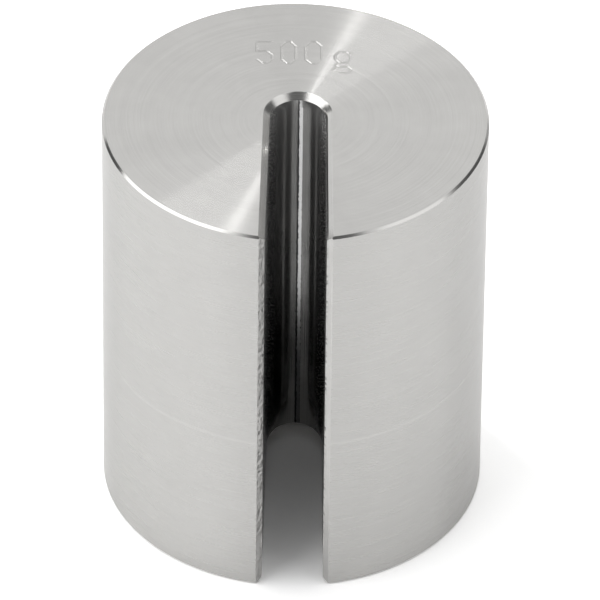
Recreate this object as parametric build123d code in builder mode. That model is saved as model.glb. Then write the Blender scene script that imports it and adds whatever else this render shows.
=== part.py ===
from build123d import *
import os

# A slotted 500 g calibration weight: one piece of stainless steel bar, turned to a
# plain cylinder, with a round-ended slot milled from its middle out through the front.
# The slot lets it slide sideways onto the rod of a weight hanger. Its 62.5 cubic
# centimetres come to 500 g at 8.0 g per cubic centimetre.
# Millimetres, +Z up. The origin is on the bar's axis in the face it stands on, and
# the slot opens towards -Y.

diameter = 42.7  # turned outside diameter
height = 49.5  # length over the two faced ends
hanger_rod = 6.0  # diameter of the rod that the slot slides onto
rod_clearance = 0.8  # between the rod and the slot, over both sides
slot_width = hanger_rod + rod_clearance  # the slot's end is a half circle of this size
slot_end_back = 0.9  # from the axis back to the half circle's centre, near the point of balance
rim_chamfer = 0.25  # 45 degrees, where the turned side meets the two ends
slot_chamfer = 0.7  # 45 degrees, where the slot meets the two ends
mouth_chamfer = 0.65  # 45 degrees, where the slot's walls meet the turned side

radius = diameter / 2
slot_radius = slot_width / 2

os.makedirs("parts", exist_ok=True)

with BuildPart() as weight:
    # the turned bar: half of its section, revolved about its own axis
    with BuildSketch(Plane.XZ):
        with BuildLine():
            Polyline(
                (0, 0),
                (radius - rim_chamfer, 0),
                (radius, rim_chamfer),
                (radius, height - rim_chamfer),
                (radius - rim_chamfer, height),
                (0, height),
                close=True,
            )
        make_face()
    revolve(axis=Axis.Z)

    # the milled slot, straight through from end to end and open at the front
    with BuildSketch(Plane.XY):
        with Locations((0, slot_end_back)):
            Circle(slot_radius)
            Rectangle(slot_width, diameter, align=(Align.CENTER, Align.MAX))
    extrude(amount=height, mode=Mode.SUBTRACT)

    # the slot's edges in the two end faces, then its upright edges at the mouth
    end_faces = weight.faces().filter_by(Axis.Z)
    slot_edges = end_faces.edges().sort_by(SortBy.LENGTH)[:-2]  # all but the two long rims
    chamfer(slot_edges, length=slot_chamfer)
    upright_edges = weight.edges().filter_by(Axis.Z)
    mouth_edges = upright_edges.group_by(Axis.Y)[0]
    chamfer(mouth_edges, length=mouth_chamfer)

weight.part.label = "weight"
export_step(weight.part, "parts/weight.step")
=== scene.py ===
import bpy
import bmesh
import math
import numpy as np
from mathutils import Matrix, Vector


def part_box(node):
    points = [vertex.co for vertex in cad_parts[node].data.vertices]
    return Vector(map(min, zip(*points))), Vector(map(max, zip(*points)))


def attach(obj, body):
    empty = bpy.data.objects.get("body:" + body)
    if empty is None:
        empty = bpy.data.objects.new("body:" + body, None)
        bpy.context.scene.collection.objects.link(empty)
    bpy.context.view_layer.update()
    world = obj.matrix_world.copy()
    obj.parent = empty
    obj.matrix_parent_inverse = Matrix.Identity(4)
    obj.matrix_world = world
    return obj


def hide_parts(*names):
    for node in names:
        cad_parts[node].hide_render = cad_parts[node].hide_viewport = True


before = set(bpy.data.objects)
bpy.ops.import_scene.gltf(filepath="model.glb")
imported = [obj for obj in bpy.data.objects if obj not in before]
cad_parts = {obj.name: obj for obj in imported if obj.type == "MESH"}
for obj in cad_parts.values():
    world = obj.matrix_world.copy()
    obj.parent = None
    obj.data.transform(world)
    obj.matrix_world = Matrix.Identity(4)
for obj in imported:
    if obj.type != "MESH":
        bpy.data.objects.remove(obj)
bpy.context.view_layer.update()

# ---------------------------------------------------------------------------
# Camera: a long lens in front of the slot, looking down on the weight from
# about forty degrees, so its sides narrow only a little towards the table.
# ---------------------------------------------------------------------------

aim = Vector((0.00072, 0.0, 0.02392))
camera_distance = 1.0255
camera_azimuth = math.radians(-0.545)
camera_elevation = math.radians(38.91)
camera_lean = math.radians(0.67)

camera_data = bpy.data.cameras.new("camera")
camera_data.sensor_width = 36.0
camera_data.lens = 550.1
camera_data.clip_start = 0.05
camera_data.clip_end = 50.0
camera = bpy.data.objects.new("camera", camera_data)
bpy.context.scene.collection.objects.link(camera)
back = Vector((
    math.sin(camera_azimuth) * math.cos(camera_elevation),
    -math.cos(camera_azimuth) * math.cos(camera_elevation),
    math.sin(camera_elevation),
))
level = Vector((math.cos(camera_azimuth), math.sin(camera_azimuth), 0.0))
upright = back.cross(level)
right = level * math.cos(camera_lean) + upright * math.sin(camera_lean)
above = upright * math.cos(camera_lean) - level * math.sin(camera_lean)
turn = Matrix((right, above, back)).transposed().to_4x4()
camera.matrix_world = Matrix.Translation(aim + back * camera_distance) @ turn
bpy.context.scene.camera = camera
bpy.context.scene.view_settings.view_transform = "Standard"

# ---------------------------------------------------------------------------
# Studio: a white tent whose dark gaps show in the metal, with a large soft
# lamp on each side, and a small one and a strip high behind, which draw the
# bow-tie streak across the turned face.
# ---------------------------------------------------------------------------

tent_lit_white = 0.88  # the tent as the table and dull surfaces are lit by it
tent_seen_white = 1.0  # the tent as polished metal shows it
lamp_distance = 1.2
lamp_aim = Vector((0.0, 0.0, 0.03))


def node(tree, kind, feeds=None, **settings):
    """Adds one shader node: settings by name, and feeds by socket, each a value or another node's output."""
    made = tree.nodes.new(kind)
    for name, value in settings.items():
        setattr(made, name, value)
    for name, value in (feeds or {}).items():
        if isinstance(value, bpy.types.NodeSocket):
            tree.links.new(value, made.inputs[name])
        else:
            made.inputs[name].default_value = value
    return made


def between(tree, share, first, second):
    """A number part of the way from the first to the second: the share is how much of the second it holds."""
    return node(tree, "ShaderNodeMix", {0: share, 2: first, 3: second}, data_type="FLOAT").outputs[0]


def heading(azimuth, elevation):
    """Unit direction at an azimuth from the front, -Y, towards +X, and at an elevation, both in degrees."""
    a, e = math.radians(azimuth), math.radians(elevation)
    return Vector((math.sin(a) * math.cos(e), -math.cos(a) * math.cos(e), math.sin(e)))


def tent_patch(tree, tone, direction, inner, outer, value):
    """Fades a tone to a value in a cone: full within inner degrees of its axis, none past outer degrees."""
    ray = node(tree, "ShaderNodeTexCoord").outputs["Generated"]
    along = node(tree, "ShaderNodeVectorMath", {0: ray, 1: direction}, operation="DOT_PRODUCT")
    cosine = {
        "Value": along.outputs["Value"],
        "From Min": math.cos(math.radians(outer)),
        "From Max": math.cos(math.radians(inner)),
    }
    amount = node(tree, "ShaderNodeMapRange", cosine, interpolation_type="SMOOTHSTEP")
    return between(tree, amount.outputs["Result"], tone, value)


world = bpy.data.worlds.new("tent")
bpy.context.scene.world = world
world.use_nodes = True
tent = world.node_tree
tent.nodes.clear()
ray_kind = node(tent, "ShaderNodeLightPath").outputs
tone = between(tent, ray_kind["Is Glossy Ray"], tent_lit_white, tent_seen_white)
tent_gaps = (
    (heading(5, 38), 25, 34, 0.15),  # the opening the lens looks through
    (heading(140, 3), 8, 22, 0.5),  # a grey fold low behind on the right
    (heading(112, 11), 14, 24, 0.12),  # the gap beside the right-hand lamp
    (heading(-121, 14), 9, 15, 0.12),  # the gap beside the left-hand lamp
)
for direction, inner, outer, value in tent_gaps:
    tone = tent_patch(tent, tone, direction, inner, outer, value)
surround = node(tent, "ShaderNodeBackground", {"Color": tone})
plain = node(tent, "ShaderNodeBackground", {"Color": (1.0, 1.0, 1.0, 1.0), "Strength": 1.0})
both = node(tent, "ShaderNodeMixShader", {
    0: ray_kind["Is Camera Ray"],
    1: surround.outputs[0],
    2: plain.outputs[0],
})
node(tent, "ShaderNodeOutputWorld", {"Surface": both.outputs[0]})


def soft_lamp(name, azimuth, elevation, width, depth, radiance):
    """A flat lamp facing the weight. Its power is radiance x pi x area, so it looks that bright face on."""
    data = bpy.data.lights.new(name, "AREA")
    data.shape = "RECTANGLE"
    data.size = width
    data.size_y = depth
    data.energy = radiance * math.pi * width * depth
    lamp = bpy.data.objects.new(name, data)
    bpy.context.scene.collection.objects.link(lamp)
    towards = heading(azimuth, elevation)
    lamp.location = lamp_aim + towards * lamp_distance
    lamp.rotation_euler = towards.to_track_quat("Z", "Y").to_euler()
    lamp.visible_camera = False


soft_lamp("left_lamp", -78, 38, width=1.5, depth=0.6, radiance=1.3)
soft_lamp("right_lamp", 75, 38, width=0.7, depth=0.4, radiance=0.35)
soft_lamp("streak_lamp", -142.8, 71.8, width=0.04, depth=0.04, radiance=160.0)
soft_lamp("strip_lamp", -139, 63, width=0.12, depth=0.28, radiance=7.0)

# ---------------------------------------------------------------------------
# Table: a plain white sheet of paper. It looks white from the camera and
# keeps the shadow round the weight's foot.
# ---------------------------------------------------------------------------

table_reach = 3.0
table_seen_white = 1.6
table_mirrored_white = 1.2
table_lit_white = 0.88

corners = np.array([(-1, -1, 0), (1, -1, 0), (1, 1, 0), (-1, 1, 0)]) * table_reach
table_mesh = bpy.data.meshes.new("table")
table_mesh.from_pydata(corners.tolist(), [], [(0, 1, 2, 3)])
table = bpy.data.objects.new("table", table_mesh)
bpy.context.scene.collection.objects.link(table)
paper = bpy.data.materials.new("white_paper")
paper.use_nodes = True
tree = paper.node_tree
tree.nodes.clear()
ray_kind = node(tree, "ShaderNodeLightPath").outputs
white = between(tree, ray_kind["Is Glossy Ray"], table_lit_white, table_mirrored_white)
white = between(tree, ray_kind["Is Camera Ray"], white, table_seen_white)
sheet = node(tree, "ShaderNodeBsdfDiffuse", {"Color": white})
node(tree, "ShaderNodeOutputMaterial", {"Surface": sheet.outputs[0]})
table_mesh.materials.append(paper)

# ---------------------------------------------------------------------------
# Slotted weight: one piece of stainless bar, turned all over and faced, with
# a round-ended slot milled in from the front, its edges broken by a small
# chamfer, and its nominal mass engraved in the upper face behind the slot.
# ---------------------------------------------------------------------------

MM = 0.001
UP = np.array([0.0, 0.0, 1.0])
LEFT_HAND = np.array([-1.0, 1.0, 1.0])
UPSIDE_DOWN = np.array([1.0, 1.0, -1.0])
far_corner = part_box("weight")[1]
radius = far_corner.x
height = far_corner.z
slot_radius = 3.4 * MM
slot_end_back = 0.9 * MM  # the slot's round end is this far behind the bar's axis
rim_chamfer = 0.25 * MM
slot_chamfer = 0.7 * MM
mouth_chamfer = 0.65 * MM

face_radius = radius - rim_chamfer  # the flat end faces stop here
lip_radius = slot_radius + slot_chamfer  # the slot's edge in the end faces
wall_top = height - slot_chamfer
side_top = height - rim_chamfer

# the mouth chamfer in plan: from the wall, point "in", to the turned side, point "out"
corner_angle = math.asin(slot_radius / radius)
mouth_in = np.array([slot_radius, -radius * math.cos(corner_angle) + mouth_chamfer])
out_angle = corner_angle + 2 * math.asin(mouth_chamfer / radius / 2)
mouth_out = np.array([radius * math.sin(out_angle), -radius * math.cos(out_angle)])
mouth_run = mouth_out - mouth_in

# how far across the mouth chamfer its top edge turns from the slot's chamfer to the rim's
rim_level = radius + side_top - wall_top
square = mouth_run @ mouth_run - mouth_run[0] ** 2
linear = 2 * (mouth_in @ mouth_run + rim_level * mouth_run[0])
constant = mouth_in @ mouth_in - rim_level ** 2
turn_point = (-linear + math.sqrt(linear ** 2 - 4 * square * constant)) / (2 * square)
turn_height = wall_top + mouth_run[0] * turn_point

# the grids' divisions; the slot's columns run from its front edge to its back, closer together at the end
arc_steps, chamfer_steps, edge_steps = 120, 5, 3
even_steps, closing_steps, closing_share = 77, 36, 0.3
even_run = np.linspace(0, 1 - closing_share, even_steps + 1)
closing_run = 1 - closing_share * (1 - np.linspace(0, 1, closing_steps + 1)[1:]) ** 1.35
run = np.concatenate([even_run, closing_run])
wall_steps = len(run) - 1
arc = np.linspace(0.5 * np.pi, 1.5 * np.pi, arc_steps + 1)
fine_heights = np.linspace(0, 1, 337)  # levels up the upright edges, close enough to show their wear
plain_levels = 29  # levels up the plain middle of the side and the wall
border = 1.0 * MM  # a strip this high joins that middle to the fine edges above and below it
lip_low = np.linspace(0, (turn_height - wall_top) / slot_chamfer, chamfer_steps + 1)
lip_high = np.linspace(lip_low[-1], 1, edge_steps + 1)
lip = np.concatenate([lip_low, lip_high[1:]])
across_low = np.linspace(0, turn_point, chamfer_steps + 1)
across_high = np.linspace(turn_point, 1, edge_steps + 1)
across = np.concatenate([across_low, across_high[1:]])


def mouth_point(s):
    """Plan point at fraction s from the wall to the turned side, and the height where the chamfer ends."""
    plan = mouth_in + s[..., None] * mouth_run
    along_slot = wall_top + mouth_run[0] * s
    along_rim = side_top + radius - np.linalg.norm(plan, axis=-1)
    return plan, np.minimum(along_slot, along_rim)


rim_high = (height - (wall_top + slot_chamfer * lip_high[::-1])) / rim_chamfer
rim_low = (height - mouth_point(across_high)[1]) / rim_chamfer
rim = np.concatenate([rim_high, rim_low[1:]])


def mirrored_run(half, arc_part):
    """Columns round the slot: the right-hand run from the front, the arc, and the left-hand run back."""
    flipped = half[:, ::-1] * LEFT_HAND
    return np.concatenate([half[:, :-1], arc_part, flipped[:, 1:]], axis=1)


def slot_lip(v):
    """The slot's top chamfer: at fraction v it is v chamfers out from the wall and v chamfers up from it."""
    offset = slot_radius + slot_chamfer * v
    rise = wall_top + slot_chamfer * v
    on_mouth = mouth_in[1] + mouth_run[1] / mouth_run[0] * slot_chamfer * v
    on_rim = -np.sqrt((rim_level + wall_top - rise) ** 2 - offset ** 2)
    front = np.maximum(on_mouth, on_rim)
    shape = (len(v), len(run))
    straight = np.stack([
        np.broadcast_to(offset[:, None], shape),
        front[:, None] * (1 - run) + slot_end_back * run,
        np.broadcast_to(rise[:, None], shape),
    ], axis=-1)
    round_end = np.stack([
        offset[:, None] * np.sin(arc),
        slot_end_back - offset[:, None] * np.cos(arc),
        np.broadcast_to(rise[:, None], (len(v), len(arc))),
    ], axis=-1)
    return mirrored_run(straight, round_end)


def slot_facing():
    """Unit direction out of the metal, into the slot, for each column round it."""
    straight = np.zeros((1, len(run), 3))
    straight[..., 0] = -1.0
    round_end = np.stack([-np.sin(arc), np.cos(arc), 0 * arc], axis=-1)[None]
    return mirrored_run(straight, round_end)


lip_edge = slot_lip(np.array([1.0]))[0]
angles = np.arctan2(lip_edge[:, 0], -lip_edge[:, 1]) % (2 * np.pi)


def polar(reach, angle, z):
    """Points at a distance from the bar's axis and an angle from the front, towards +X, at height z."""
    reach, angle, z = np.broadcast_arrays(reach, angle, z)
    return np.stack([reach * np.sin(angle), -reach * np.cos(angle), z], axis=-1)


def spread(first):
    """The columns' angles, stretched so that the first stands at another angle and the back one stays."""
    return np.pi + (angles - np.pi) * (np.pi - first) / (np.pi - angles[0])


# --- engraving: single strokes with cut corners, in a flat-bottomed groove ---
stroke_half_width = 0.155 * MM
stroke_wall = 0.10 * MM  # width of the groove's sloping sides
stroke_depth = 0.075 * MM
five = [(1, 1), (0, 1), (0, 0.55), (0.65, 0.55), (1, 0.4), (1, 0.18), (0.65, 0), (0.35, 0), (0, 0.18)]
nought = [(0.35, 0), (0.65, 0), (1, 0.2), (1, 0.8), (0.65, 1), (0.35, 1), (0, 0.8), (0, 0.2), (0.35, 0)]
gram_bowl = [
    (0.35, 0.5), (0.75, 0.5), (0.95, 0.65), (0.95, 0.85), (0.75, 1),
    (0.35, 1), (0.15, 0.85), (0.15, 0.65), (0.35, 0.5),
]
gram_ear = [(0.85, 0.92), (1.1, 1.0)]
gram_tail = [
    (0.35, 0.5), (0.15, 0.4), (0.3, 0.32), (0.8, 0.3), (1, 0.18),
    (0.8, 0), (0.2, 0), (0, 0.14), (0.15, 0.28), (0.3, 0.32),
]
# each letter's strokes, with its left edge, its foot, its width and its height in millimetres
engraved = (
    (five, -4.3, 10.15, 1.7, 3.9),
    (nought, -1.55, 10.1, 1.55, 4.0),
    (nought, 1.1, 10.05, 1.8, 4.05),
    (gram_bowl, 4.1, 8.4, 2.1, 3.8),
    (gram_ear, 4.1, 8.4, 2.1, 3.8),
    (gram_tail, 4.1, 8.4, 2.1, 3.8),
)


def groove_depth(x, y):
    """Depth of the groove: none at half its width from a stroke's line, then a slope to its flat bottom."""
    nearest = np.full(x.shape, 1.0)
    for letter, left, foot, width, tall in engraved:
        ends = (np.array([left, foot]) + np.array(letter) * np.array([width, tall])) * MM
        for a, b in zip(ends[:-1], ends[1:]):
            along = b - a
            part = ((x - a[0]) * along[0] + (y - a[1]) * along[1]) / (along @ along)
            part = np.clip(part, 0, 1)
            gap = np.hypot(x - a[0] - part * along[0], y - a[1] - part * along[1])
            nearest = np.minimum(nearest, gap)
    return stroke_depth * np.clip((stroke_half_width - nearest) / stroke_wall, 0, 1)


# --- the surfaces, each a grid of points with its outward direction and its lay ---
surfaces = []


def unit(vectors):
    """Vectors scaled to length one."""
    return vectors / np.maximum(np.linalg.norm(vectors, axis=-1, keepdims=True), 1e-12)


def surface(finish, points, facing, across_marks=0.0, along_marks=0.0, worked=False):
    """Keeps one grid, its faces turned to look along facing. A worked grid is shaded by its own slopes."""
    facing = np.broadcast_to(facing, points.shape)
    lay = np.stack(np.broadcast_arrays(across_marks, along_marks, points[..., 0])[:2], axis=-1) / MM
    slopes = np.cross(np.gradient(points, axis=0), np.gradient(points, axis=1))
    if (slopes * facing).sum() < 0:
        points, facing, lay = points[::-1], facing[::-1], lay[::-1]
    surfaces.append((finish, points, facing, lay, worked))


def both_ends(finish, points, facing, across_marks, along_marks, worked=False):
    """The same grid at the top of the bar and, turned over, at its foot."""
    surface(finish, points, facing, across_marks, along_marks, worked)
    at_foot = points * UPSIDE_DOWN + height * UP
    surface(finish, at_foot, facing * UPSIDE_DOWN, across_marks, along_marks, worked)


def both_hands(finish, points, facing, across_marks, along_marks):
    """The same grid on the right of the slot and, mirrored, on its left."""
    surface(finish, points, facing, across_marks, along_marks)
    surface(finish, points * LEFT_HAND, facing * LEFT_HAND, across_marks, along_marks)


def seam(fine, coarse, fine_at, coarse_at):
    """Closes a line of many points to one of few: each of the many is joined to the nearest of the few."""
    pick = abs(fine_at[:, None] - coarse_at).argmin(axis=1)
    return np.stack([fine, coarse[pick]])


# the faced ends; the upper one has a finer window where it is engraved
window_from, window_to = 9.2 * MM, 14.75 * MM
window_right, window_left = wall_steps + 29, wall_steps + 81  # its columns
inner_steps, window_steps, outer_steps = 6, 15, 6
window_low, window_high = inner_steps, inner_steps + window_steps  # its rows
face_span = face_radius - lip_radius
inner_rows = np.linspace(0, (window_from - lip_radius) / face_span, inner_steps + 1)
window_rows = np.linspace(inner_rows[-1], (window_to - lip_radius) / face_span, window_steps + 1)
outer_rows = np.linspace(window_rows[-1], 1, outer_steps + 1)
face_rows = np.concatenate([inner_rows, window_rows[1:], outer_rows[1:]])
face_columns = np.arange(len(angles))
edge_reach = np.linalg.norm(lip_edge[:, :2], axis=-1)


def end_face(rows, columns):
    """The faced end at the top: row 0 is the slot's edge, row 1 the rim, along the angle of each column."""
    start = np.interp(columns, face_columns, edge_reach)
    angle = np.interp(columns, face_columns, angles)
    return polar(start + rows[:, None] * (face_radius - start), angle, height)


face_points = end_face(face_rows, face_columns)
surface("turned_end", face_points * (1 - UP), -UP)
for part in (slice(None, window_right + 1), slice(window_left, None)):
    surface("turned_end", face_points[:, part], UP)
beside = slice(window_right, window_left + 1)
for part in (slice(None, window_low + 1), slice(window_high, None)):
    surface("turned_end", face_points[part, beside], UP)

fine_per_row, fine_per_column = 8, 7
row_gap, column_gap = 0.004, 0.2  # the fine grid stands this much inside the window, for its seams
fine_rows = np.linspace(window_rows[0] + row_gap, window_rows[-1] - row_gap, window_steps * fine_per_row + 1)
fine_column_steps = (window_left - window_right) * fine_per_column
fine_columns = np.linspace(window_right + column_gap, window_left - column_gap, fine_column_steps + 1)
window = end_face(fine_rows, fine_columns)
window[..., 2] -= groove_depth(window[..., 0], window[..., 1])
surface("turned_end", window, UP, worked=True)
for fine, coarse in ((0, window_low), (-1, window_high)):
    coarse_line = face_points[coarse, beside]
    surface("turned_end", seam(window[fine], coarse_line, fine_columns, face_columns[beside]), UP)
for fine, coarse in ((0, window_right), (-1, window_left)):
    coarse_line = face_points[window_low:window_high + 1, coarse]
    surface("turned_end", seam(window[:, fine], coarse_line, fine_rows, window_rows), UP)

# the rim's chamfer and the turned side
rim_plan = mouth_point(across_high)[0][1:]
rim_start = np.concatenate([
    np.arcsin((lip_radius - rim_chamfer * rim_high) / (face_radius + rim_chamfer * rim_high)),
    np.arctan2(rim_plan[:, 0], -rim_plan[:, 1]),
])[:, None]
rim_angles = spread(rim_start)
slant = rim[:, None] * rim_chamfer
rim_points = polar(face_radius + slant, rim_angles, height - slant)
rim_facing = unit(polar(1.0, rim_angles, 1.0))
both_ends("turned_rim", rim_points, rim_facing, slant * math.sqrt(2), rim_angles * radius)

rim_edge = rim_angles[-1]
side_inset = 0.05  # radians from the slot's mouth to the side's plain middle
side_columns = 101
side_angles = np.linspace(rim_edge[0] + side_inset, rim_edge[-1] - side_inset, side_columns)
side_z = np.linspace(rim_chamfer + border, side_top - border, plain_levels)


def turned_side(swing, rise):
    """The side as a grid, with its facing and lay: swing is the angle round the bar, and rise the height."""
    return polar(radius, swing, rise), polar(1.0, swing, 0.0), rise, swing * radius


surface("turned_side", *turned_side(side_angles, side_z[:, None]))
swing = seam(rim_edge, side_angles, rim_edge, side_angles)
for edge_z, next_z in ((rim_chamfer, side_z[0]), (side_top, side_z[-1])):
    surface("turned_side", *turned_side(swing, np.array([[edge_z], [next_z]])))
fine_z = rim_chamfer + fine_heights * (side_top - rim_chamfer)
mouth_pair = np.array([[rim_edge[0]], [side_angles[0]]])
both_hands("turned_side", *turned_side(mouth_pair, seam(fine_z, side_z, fine_z, side_z)))

# the slot: its chamfer at each end, its wall, and the chamfers at its mouth
flattening = 0.35  # the right-hand chamfer was broken flatter by hand, by this share of its depth
flat_past, flat_fade = 2.2 * MM, 3.0 * MM  # how far round the end that goes, and over what length it fades
lip_points = slot_lip(lip)
lip_x, lip_y, lip_z = lip_points[..., 0], lip_points[..., 1], lip_points[..., 2]
from_ends = np.minimum(slot_end_back + flat_past - lip_y, lip_y - mouth_in[1]) / flat_fade
flatter = np.where(lip_x > 0, flattening * np.clip(from_ends, 0, 1), 0.0)
flatter[0] = 0.0
lip_points[..., 2] += flatter * (height - lip_z)
lip_run = np.concatenate([[0.0], np.cumsum(np.linalg.norm(np.diff(lip_edge, axis=0), axis=-1))])
lip_facing = np.broadcast_to(unit(slot_facing() + UP), lip_points.shape)
both_ends("broken_edge", lip_points, lip_facing, lip[:, None] * slot_chamfer, lip_run, worked=True)

# the wall's plain part keeps every tenth column of its straight runs and every second of its arc
wall_line = slot_lip(np.array([0.0]))[0] * (1 - UP)
wall_run = np.concatenate([[0.0], np.cumsum(np.linalg.norm(np.diff(wall_line, axis=0), axis=-1))])
wall_facing = slot_facing()[0]
wall_middle = wall_steps + arc_steps // 2
half = np.concatenate([np.arange(6, wall_steps, 10), np.arange(wall_steps, wall_middle, 2)])
kept = np.concatenate([half, [wall_middle], len(wall_run) - 1 - half[::-1]])
wall_z = np.linspace(slot_chamfer + border, wall_top - border, plain_levels)
fine_wall_z = slot_chamfer + fine_heights * (wall_top - slot_chamfer)

# the cutter's two passes meet on the round end in a small step: the left-hand one follows the
# slot's own circle, and the right-hand one stops short and turns away in two narrow facets
step_at = 0.12 * MM
step_width = 0.02 * MM
land_to = 0.62 * MM  # the right-hand pass is flat up to here
land_tilt = math.radians(1.0)
clear = 0.05 * MM  # the round end's own columns stay this far from the step and the flat
facet_ends = (0.62, 1.50, 1.92, 3.40)  # millimetres right of the middle
facet_leans = (6.5, 9.5, 34.0, 90.0)  # degrees that the wall turns away from the front there
left_ends = (-3.40, -0.95, -0.65, 0.12)  # the same for the left-hand pass, in the same direction
left_leans = (90.0, 24.0, 9.5, 7.0)


def round_end_y(x):
    """The slot's circle: how far back it is at a distance to the right of the middle."""
    return slot_end_back + np.sqrt(slot_radius ** 2 - x ** 2)


def run_at(x):
    """Distance round the wall from its right-hand front edge to a point of the round end."""
    return wall_run[wall_middle] - slot_radius * np.arcsin(x / slot_radius)


def turned_away(x, hand, ends, leans):
    """Facing of a pass at x: it leans from the front, to one hand, by degrees read off between the ends."""
    lean = np.radians(np.interp(x / MM, ends, leans))
    return np.stack([hand * np.sin(lean), -np.cos(lean), 0 * lean], axis=-1)


right_pass = kept[wall_line[kept, 0] > land_to + clear]
left_pass = kept[wall_line[kept, 0] < step_at - clear]
land_x = np.array([land_to, step_at + step_width])
land_y = round_end_y(land_to) + (land_to - land_x) * math.tan(land_tilt)
land_line = np.stack([land_x, land_y, 0 * land_x], axis=-1)
step_line = np.array([land_line[1], [step_at, round_end_y(step_at), 0.0]])
right_line = np.concatenate([wall_line[right_pass], land_line[:1]])
left_line = np.concatenate([step_line[1:], wall_line[left_pass]])
right_facing = turned_away(right_line[:, 0], -1, facet_ends, facet_leans)
left_facing = turned_away(left_line[:, 0], 1, left_ends, left_leans)
land_facing = np.broadcast_to([-math.sin(land_tilt), -math.cos(land_tilt), 0.0], land_line.shape)
step_along = step_line[1] - step_line[0]
step_facing = np.broadcast_to(unit(np.array([-step_along[1], step_along[0], 0.0])), step_line.shape)
right_run = np.concatenate([wall_run[right_pass], run_at(land_x[:1])])
land_run = run_at(land_x)
step_run = run_at(step_line[:, 0])
left_run = np.concatenate([step_run[1:], wall_run[left_pass]])
stretches = (
    (right_line, right_facing, right_run),
    (land_line, land_facing, land_run),
    (step_line, step_facing, step_run),
    (left_line, left_facing, left_run),
)
for line, line_facing, line_run in stretches:
    surface("milled_wall", line + wall_z[:, None, None] * UP, line_facing, line_run, wall_z[:, None])
whole_line = np.concatenate([right_line, land_line[1:], left_line])
whole_facing = np.concatenate([right_facing, land_facing[1:], left_facing])
whole_run = np.concatenate([right_run, land_run[1:], left_run])
at = wall_run, whole_run
for edge_z, next_z in ((slot_chamfer, wall_z[0]), (wall_top, wall_z[-1])):
    rise = np.array([[edge_z], [next_z]])
    strip = seam(wall_line, whole_line, *at) + rise[..., None] * UP
    surface("milled_wall", strip, seam(wall_facing, whole_facing, *at), seam(*at, *at), rise)
rise = seam(fine_wall_z, wall_z, fine_wall_z, wall_z)
front_pair = [0, right_pass[0]]
front_strip = wall_line[front_pair, None] + rise[..., None] * UP
both_hands("milled_wall", front_strip, wall_facing[0], wall_run[front_pair, None], rise)

plan, top_z = mouth_point(across)
mouth_z = (height - top_z) + fine_heights[:, None] * (2 * top_z - height)
mouth = np.stack(np.broadcast_arrays(plan[:, 0], plan[:, 1], mouth_z), axis=-1)
mouth_facing = unit(np.array([mouth_run[1], -mouth_run[0], 0.0]))
for finish, hand in (("broken_edge", 1.0), ("filed_edge", LEFT_HAND)):
    surface(finish, mouth * hand, mouth_facing * hand, across * mouth_chamfer, mouth_z, worked=True)

# --- wear: the milled edges wander a little, more on the left where the cutter left the metal ---
random = np.random.default_rng(5)
waves = random.uniform(0.15, 3.0, 60) / MM
offsets = random.uniform(0, 2 * np.pi, (4, 60))
strengths = waves ** -0.3 * random.uniform(0.3, 1, 60)
strengths = strengths / np.sqrt((strengths ** 2).sum() / 2)
right_wear = 0.45  # the right-hand edges wander this much of what the left-hand ones do
in_wear, out_wear, lip_wear = 0.035 * MM, 0.03 * MM, 0.02 * MM  # at the wall, the side and the end faces
corner_fade, front_fade = 0.8 * MM, 7 * MM  # the side's edge calms near the rim, and the lip near the mouth


def wander(place, line):
    """An edge's drift along its length: sixty waves, 1.5 to 30 a centimetre, added up to about one high."""
    return (strengths * np.sin(2 * np.pi * waves * place[..., None] + offsets[line])).sum(-1)


def worn(points):
    """Moves the points of the slot's edges a few hundredths of a millimetre within the faces they join."""
    x, y, z = points[..., 0], points[..., 1], points[..., 2]
    near = 2e-6
    share = np.where(x < 0, 1.0, right_wear)
    moved = points.copy()
    on_in = (abs(abs(x) - slot_radius) < near) & (abs(y - mouth_in[1]) < near)
    moved[..., 1] += np.where(on_in, in_wear * share * wander(z, 0), 0)
    on_out = (abs(abs(x) - mouth_out[0]) < near) & (abs(y - mouth_out[1]) < near)
    calm = np.clip((np.minimum(z, height - z) - rim_chamfer) / corner_fade, 0, 1)
    drift = np.where(on_out, out_wear * share * calm * np.clip(wander(z, 1) + 1, 0, 3), 0)
    angle = np.arctan2(x, -y) + np.sign(x) * drift / radius
    moved[on_out] = polar(radius, angle[on_out], z[on_out])
    behind = np.maximum(y - slot_end_back, 0)
    on_lip = (np.minimum(abs(z - height), abs(z)) < near) & (abs(np.hypot(x, behind) - lip_radius) < near)
    calm = np.clip((y - mouth_in[1]) / front_fade, 0, 1)
    push = np.where(on_lip, lip_wear * share * calm * wander(np.arctan2(x, -y) * lip_radius + y, 2), 0)
    moved[..., :2] += push[..., None] * np.stack([x, behind], axis=-1) / lip_radius
    return moved


relief = 1.9 * MM  # the foot's chamfer is this much larger at the round end, to clear a hanger's collar
relief_from, relief_to = -4.5 * MM, 5.2 * MM  # it grows from here to here, front to back
relief_up, relief_out = 10 * MM, 6 * MM  # the wall and the foot's face give way over these lengths


def relieved(points):
    """Grows the foot's chamfer towards the round end: its upper edge moves up, and its lower one outwards."""
    x, y, z = points[..., 0], points[..., 1], points[..., 2]
    behind = np.maximum(y - slot_end_back, 0)
    from_slot = np.maximum(np.hypot(x, behind), 1e-9)
    back_share = np.clip((y - relief_from) / (relief_to - relief_from), 0, 1)
    grown = relief * back_share ** 2 * (3 - 2 * back_share)
    up_share = np.minimum(z / slot_chamfer, (relief_up - z) / (relief_up - slot_chamfer))
    lift = grown * np.clip(up_share, 0, 1) * (from_slot < lip_radius + 2e-6)
    out_share = np.clip(1 - (from_slot - lip_radius) / relief_out, 0, 1)
    push = grown * np.clip(1 - z / slot_chamfer, 0, 1) * out_share
    return points + np.stack([push * x / from_slot, push * behind / from_slot, lift], axis=-1)


slot_lean = 0.55 * MM  # the cutter drifted: the slot is this much narrower at its back, on the left
lean_fade = 4 * MM  # the metal beside the slot follows over this length


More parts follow.
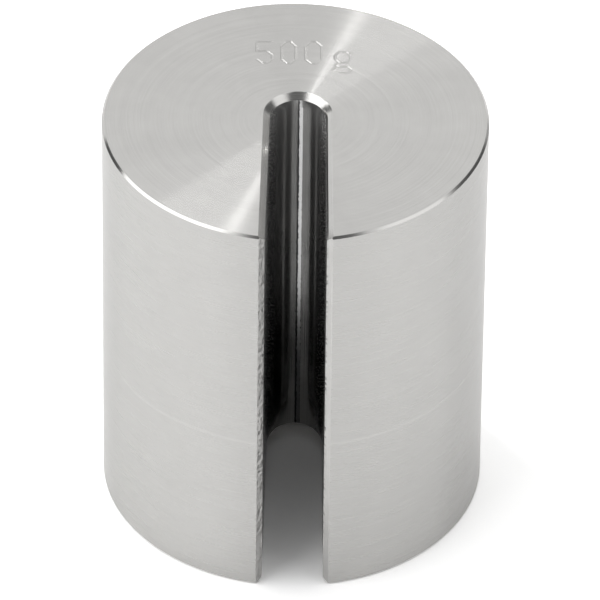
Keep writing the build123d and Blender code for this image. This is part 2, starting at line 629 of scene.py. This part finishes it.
def leaned(points):
    """Draws the slot's left wall in, the more the further back it is, and the metal beside it a little."""
    x, y = points[..., 0], points[..., 1]
    back_share = np.clip((y - mouth_in[1]) / (slot_end_back - mouth_in[1]), 0, 1)
    left_share = np.clip((slot_radius - x) / (2 * slot_radius), 0, 1)
    beyond = np.hypot(x, np.maximum(y - slot_end_back, 0)) - lip_radius
    shift = slot_lean * back_share * left_share * np.clip(1 - beyond / lean_fade, 0, 1)
    return points + shift[..., None] * np.array([1.0, 0.0, 0.0])


# --- the steel's finishes: colour, roughness, how far the marks draw out a highlight, the marks'
# pitch in millimetres, their tone as a share of the colour, and their height in metres ---
steel_colour = (0.56, 0.554, 0.54, 1.0)
filed_colour = (0.42, 0.415, 0.405, 1.0)
# the milled wall's colour stands well below the turned steel's: partly the milled steel's own tone, partly
# painted shade that darkens the deep slot
wall_tone_and_shade = (0.31, 0.308, 0.303, 1.0)
finishes = {
    "turned_end": (steel_colour, 0.24, 1.0, 0.12, 0.06, 4e-6),
    "turned_side": (steel_colour, 0.27, 1.0, 0.12, 0.04, 5e-7),
    "turned_rim": (steel_colour, 0.15, 0.6, 0.12, 0.03, 2e-6),
    "broken_edge": (steel_colour, 0.22, 0.5, 0.12, 0.10, 6e-6),
    "filed_edge": (filed_colour, 0.30, 0.5, 0.14, 0.30, 2e-5),
    "milled_wall": (wall_tone_and_shade, 0.12, 0.6, 0.15, 0.35, 6e-6),
}

# --- the mesh: all grids joined, their shared edges welded, shaded by the true surface ---
all_points, all_faces, all_facing, all_lay, all_finish = [], [], [], [], []
count = 0
for finish, points, facing, lay, worked in surfaces:
    points = leaned(relieved(worn(points)))
    if finish == "turned_end":  # its lay is rings: the distance from the bar's axis, and the angle round it
        swing = np.arctan2(points[..., 0], -points[..., 1]) % (2 * np.pi)
        lay = np.stack([np.hypot(points[..., 0], points[..., 1]) / MM, swing * 10], axis=-1)
    if worked:
        slopes = np.cross(np.gradient(points, axis=0), np.gradient(points, axis=1))
        facing = np.where((slopes * facing).sum(-1, keepdims=True) > 1e-16, unit(slopes), facing)
    grid = np.arange(points.shape[0] * points.shape[1]).reshape(points.shape[:2])
    faces = np.stack([grid[:-1, :-1], grid[1:, :-1], grid[1:, 1:], grid[:-1, 1:]], axis=-1).reshape(-1, 4)
    all_points.append(points.reshape(-1, 3))
    all_faces.append(faces + count)
    all_facing.append(facing.reshape(-1, 3)[faces.ravel()])
    all_lay.append(lay.reshape(-1, 2)[faces.ravel()])
    all_finish.append(np.full(len(faces), list(finishes).index(finish)))
    count += grid.size

mesh = bpy.data.meshes.new("slotted_weight")
mesh.from_pydata(np.concatenate(all_points).tolist(), [], np.concatenate(all_faces).tolist())
mesh.uv_layers.new(name="lay").data.foreach_set("uv", np.concatenate(all_lay).ravel())
facing_store = mesh.attributes.new("facing", "FLOAT_VECTOR", "CORNER")
facing_store.data.foreach_set("vector", np.concatenate(all_facing).ravel())
mesh.polygons.foreach_set("material_index", np.concatenate(all_finish))
mesh.polygons.foreach_set("use_smooth", np.ones(len(mesh.polygons), bool))
welded = bmesh.new()
welded.from_mesh(mesh)
bmesh.ops.remove_doubles(welded, verts=welded.verts, dist=2e-6)
welded.to_mesh(mesh)
welded.free()
shading = np.zeros(len(mesh.loops) * 3)
mesh.attributes["facing"].data.foreach_get("vector", shading)
mesh.attributes.remove(mesh.attributes["facing"])
mesh.normals_split_custom_set(shading.reshape(-1, 3).tolist())
weight = bpy.data.objects.new("weight_steel", mesh)
bpy.context.scene.collection.objects.link(weight)


# --- the steel, in one material for each way its faces were worked ---
fine_length, coarse_length = 15.0, 40.0  # millimetres that the fine and the coarse marks run on
coarse_pitch = 6  # the coarse marks are this many times as wide as the fine ones
patina_scale = 300.0  # clouds to the metre
noise_low, noise_high = 0.3, 0.7  # nearly all of a noise lies between these


def ramp(tree, value, start, end, at_start=0.0, at_end=1.0):
    """Carries the span from start to end to the span from at_start to at_end, and holds it level beyond."""
    feeds = {"Value": value, "From Min": start, "From Max": end, "To Min": at_start, "To Max": at_end}
    return node(tree, "ShaderNodeMapRange", feeds).outputs[0]


def painted(tree, share, under, over):
    """A colour with another laid over it by a share."""
    return node(tree, "ShaderNodeMix", {0: share, 6: under, 7: over}, data_type="RGBA").outputs[2]


def maths(tree, operation, first, second=0.0):
    """One step of arithmetic on two numbers, or on the first alone."""
    return node(tree, "ShaderNodeMath", {0: first, 1: second}, operation=operation).outputs[0]


def off_line(tree, place, line):
    """How far a place along one axis is from a line across it: their difference without its sign."""
    return maths(tree, "ABSOLUTE", maths(tree, "SUBTRACT", place, line))


def grain(tree, lay, pitch, length, **noise):
    """Noise drawn out along the lay: its grains are a pitch wide and a length long, in millimetres."""
    squeeze = {0: lay, 1: (1 / pitch, 1 / length, 1.0)}
    drawn_out = node(tree, "ShaderNodeVectorMath", squeeze, operation="MULTIPLY").outputs[0]
    feeds = {"Vector": drawn_out, "Scale": 1.0, **noise}
    return node(tree, "ShaderNodeTexNoise", feeds, noise_dimensions="2D").outputs["Fac"]


def rippled(tree, height_map, depth, under):
    """The surface's direction, tipped by the slopes of a height map of a given depth, over one before it."""
    feeds = {"Height": height_map, "Distance": depth, "Strength": 1.0}
    if under:
        feeds["Normal"] = under
    return node(tree, "ShaderNodeBump", feeds).outputs[0]


def worked_steel(name, colour, roughness, directional, mark_pitch, mark_tone, mark_height):
    """Bare steel with marks along its lay: fine and coarse bands and a cloudy patina vary its colour by the
    marks' tone either way, and the fine bands vary its roughness and height."""
    material = bpy.data.materials.new(name)
    material.use_nodes = True
    tree = material.node_tree
    tree.nodes.clear()
    lay = node(tree, "ShaderNodeUVMap", uv_map="lay").outputs["UV"]
    fine = grain(tree, lay, mark_pitch, fine_length, Detail=2.0, Roughness=0.6)
    coarse = grain(tree, lay, mark_pitch * coarse_pitch, coarse_length, Detail=2.0, Roughness=0.6)
    place = node(tree, "ShaderNodeTexCoord").outputs["Object"]
    cloudy = {"Vector": place, "Scale": patina_scale, "Detail": 5.0, "Roughness": 0.65}
    cloud = node(tree, "ShaderNodeTexNoise", cloudy).outputs["Fac"]
    patina = between(tree, 0.6, fine, between(tree, 0.7, coarse, cloud))
    darker, lighter = ([c * tone for c in colour[:3]] + [1.0] for tone in (1 - mark_tone, 1 + mark_tone))
    tint = painted(tree, ramp(tree, patina, noise_low, noise_high), darker, lighter)
    sway = min(0.5 * mark_tone, 0.06)
    rough = ramp(tree, fine, noise_low, noise_high, roughness * (1 - sway), roughness * (1 + sway))
    tangent = node(tree, "ShaderNodeTangent", direction_type="UV_MAP", uv_map="lay").outputs[0]
    normal = rippled(tree, fine, mark_height, None)
    shader = node(tree, "ShaderNodeBsdfPrincipled", {
        "Base Color": tint,
        "Metallic": 1.0,
        "Roughness": rough,
        "Anisotropic": directional,
        "Tangent": tangent,
        "Normal": normal,
    })
    out = node(tree, "ShaderNodeOutputMaterial", {"Surface": shader.outputs[0]})
    mesh.materials.append(material)
    return tree, shader, out


def fed_by(shader, socket):
    """What already feeds a shader's socket."""
    return shader.inputs[socket].links[0].from_socket


def shared_with(tree, shader, out, share, second):
    """Gives a share of the surface to a second shader."""
    mixed = node(tree, "ShaderNodeMixShader", {0: share, 1: shader.outputs[0], 2: second.outputs[0]})
    tree.links.new(mixed.outputs[0], out.inputs["Surface"])


steels = {name: worked_steel(name, *values) for name, values in finishes.items()}

# the faced end also has a finer sheen along the radius, from the even feed of the facing tool
tree, shader, out = steels["turned_end"]
sheen = node(tree, "ShaderNodeBsdfAnisotropic", {
    "Color": fed_by(shader, "Base Color"),
    "Roughness": 0.2,
    "Anisotropy": -0.8,
    "Tangent": fed_by(shader, "Tangent"),
    "Normal": fed_by(shader, "Normal"),
})
shared_with(tree, shader, out, 0.5, sheen)

# a faint paler line runs round the side where the turning tool paused
pause_height = 20.4  # millimetres above the foot
pause_colour = tuple(c * 1.12 for c in steel_colour[:3]) + (1.0,)
tree, shader, out = steels["turned_side"]
lay = node(tree, "ShaderNodeUVMap", uv_map="lay").outputs["UV"]
up_side = node(tree, "ShaderNodeSeparateXYZ", {0: lay}).outputs[0]
paused = ramp(tree, off_line(tree, up_side, pause_height), 0.25, 0.05, 0.0, 0.5)
tree.links.new(painted(tree, paused, fed_by(shader, "Base Color"), pause_colour), shader.inputs["Base Color"])

# chatter of the file across the left-hand mouth chamfer
chatter_pitch, chatter_length, chatter_depth = 0.4, 0.625, 1.8e-4  # two in millimetres, and the last in metres
tree, shader, out = steels["filed_edge"]
lay = node(tree, "ShaderNodeUVMap", uv_map="lay").outputs["UV"]
chatter = grain(tree, lay, chatter_pitch, chatter_length, Detail=3.0)
tree.links.new(rippled(tree, chatter, chatter_depth, fed_by(shader, "Normal")), shader.inputs["Normal"])

# the flat on the milled wall is painted paler with height, a painted shade and reflection that is dark low in
# the slot
# and pale near its top, and two dark ragged lines are painted down the wall as dark reflections of the mouth's
# edges:
# one where the passes meet, and a fainter one beside the flat that fades towards the top
land_low, land_high = 11.0, 26.0  # millimetres above the foot
land_shaded_tone, land_lit_tone = 0.18, 0.60
painted_reflection_colour = (0.02, 0.02, 0.02, 1.0)
painted_reflection_fade = 12  # millimetres over which a line fades
# each line's place, its least and greatest half width, and the height in millimetres where it is gone
painted_reflection_lines = ((step_at, 0.05, 0.17, 60.0), (land_to, -0.03, 0.06, 40.0))
tree, shader, out = steels["milled_wall"]
lay = node(tree, "ShaderNodeUVMap", uv_map="lay").outputs["UV"]
lay_parts = node(tree, "ShaderNodeSeparateXYZ", {0: lay}).outputs
round_wall, up_wall = lay_parts[0], lay_parts[1]
land_middle = 0.5 * (run_at(land_to) + run_at(step_at)) / MM
half_land = 0.5 * (land_to - step_at) / MM
on_land = maths(tree, "LESS_THAN", off_line(tree, round_wall, land_middle), half_land)
# painted light: the flat's colour runs from shaded dark low in the slot to lit pale near its top
land_painted_light = ramp(tree, up_wall, land_low, land_high, land_shaded_tone, land_lit_tone)
colour = painted(tree, on_land, fed_by(shader, "Base Color"), land_painted_light)
ragged = node(tree, "ShaderNodeTexNoise", {"Vector": lay, "Scale": 3.0, "Detail": 3.0}, noise_dimensions="2D")
# painted dark reflections of the mouth's edges, laid into the wall's colour as near-black ragged lines
for line_at, narrow, wide, gone_at in painted_reflection_lines:
    width = ramp(tree, ragged.outputs["Fac"], noise_low, noise_high, narrow, wide)
    inside = maths(tree, "LESS_THAN", off_line(tree, round_wall, run_at(line_at) / MM), width)
    share = maths(tree, "MULTIPLY", inside, ramp(tree, up_wall, gone_at, gone_at - painted_reflection_fade))
    colour = painted(tree, share, colour, painted_reflection_colour)
tree.links.new(colour, shader.inputs["Base Color"])

# torn specks stand on the sides of its round end, and its upper half is rubbed dull, as they are
speck_depth = 8e-5
speck_edge, speck_core = 0.64, 0.70  # the noise's values at a speck's edge and where it stands full
speck_from, speck_full = 2.6, 4.6  # millimetres round the wall from its middle, either way
rubbed_from, rubbed_to, rubbed_share = 14.0, 32.0, 0.14  # two heights in millimetres, and how dull it gets
dull_colour = (0.8, 0.795, 0.785, 1.0)
fine = node(tree, "ShaderNodeTexNoise", {"Vector": lay, "Scale": 5.0, "Detail": 1.0}, noise_dimensions="2D")
beside_middle = ramp(tree, off_line(tree, round_wall, run_at(0.0) / MM), speck_from, speck_full)
speck = ramp(tree, fine.outputs["Fac"], speck_edge, speck_core)
torn = maths(tree, "MULTIPLY", speck, beside_middle)
specks = rippled(tree, torn, speck_depth, fed_by(shader, "Normal"))
tree.links.new(specks, shader.inputs["Normal"])
rubbed = ramp(tree, up_wall, rubbed_from, rubbed_to, 0.0, rubbed_share)
dull_share = maths(tree, "MAXIMUM", rubbed, torn)
dull = node(tree, "ShaderNodeBsdfDiffuse", {"Color": dull_colour, "Normal": specks})
shared_with(tree, shader, out, dull_share, dull)

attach(weight, "root")
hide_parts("weight")
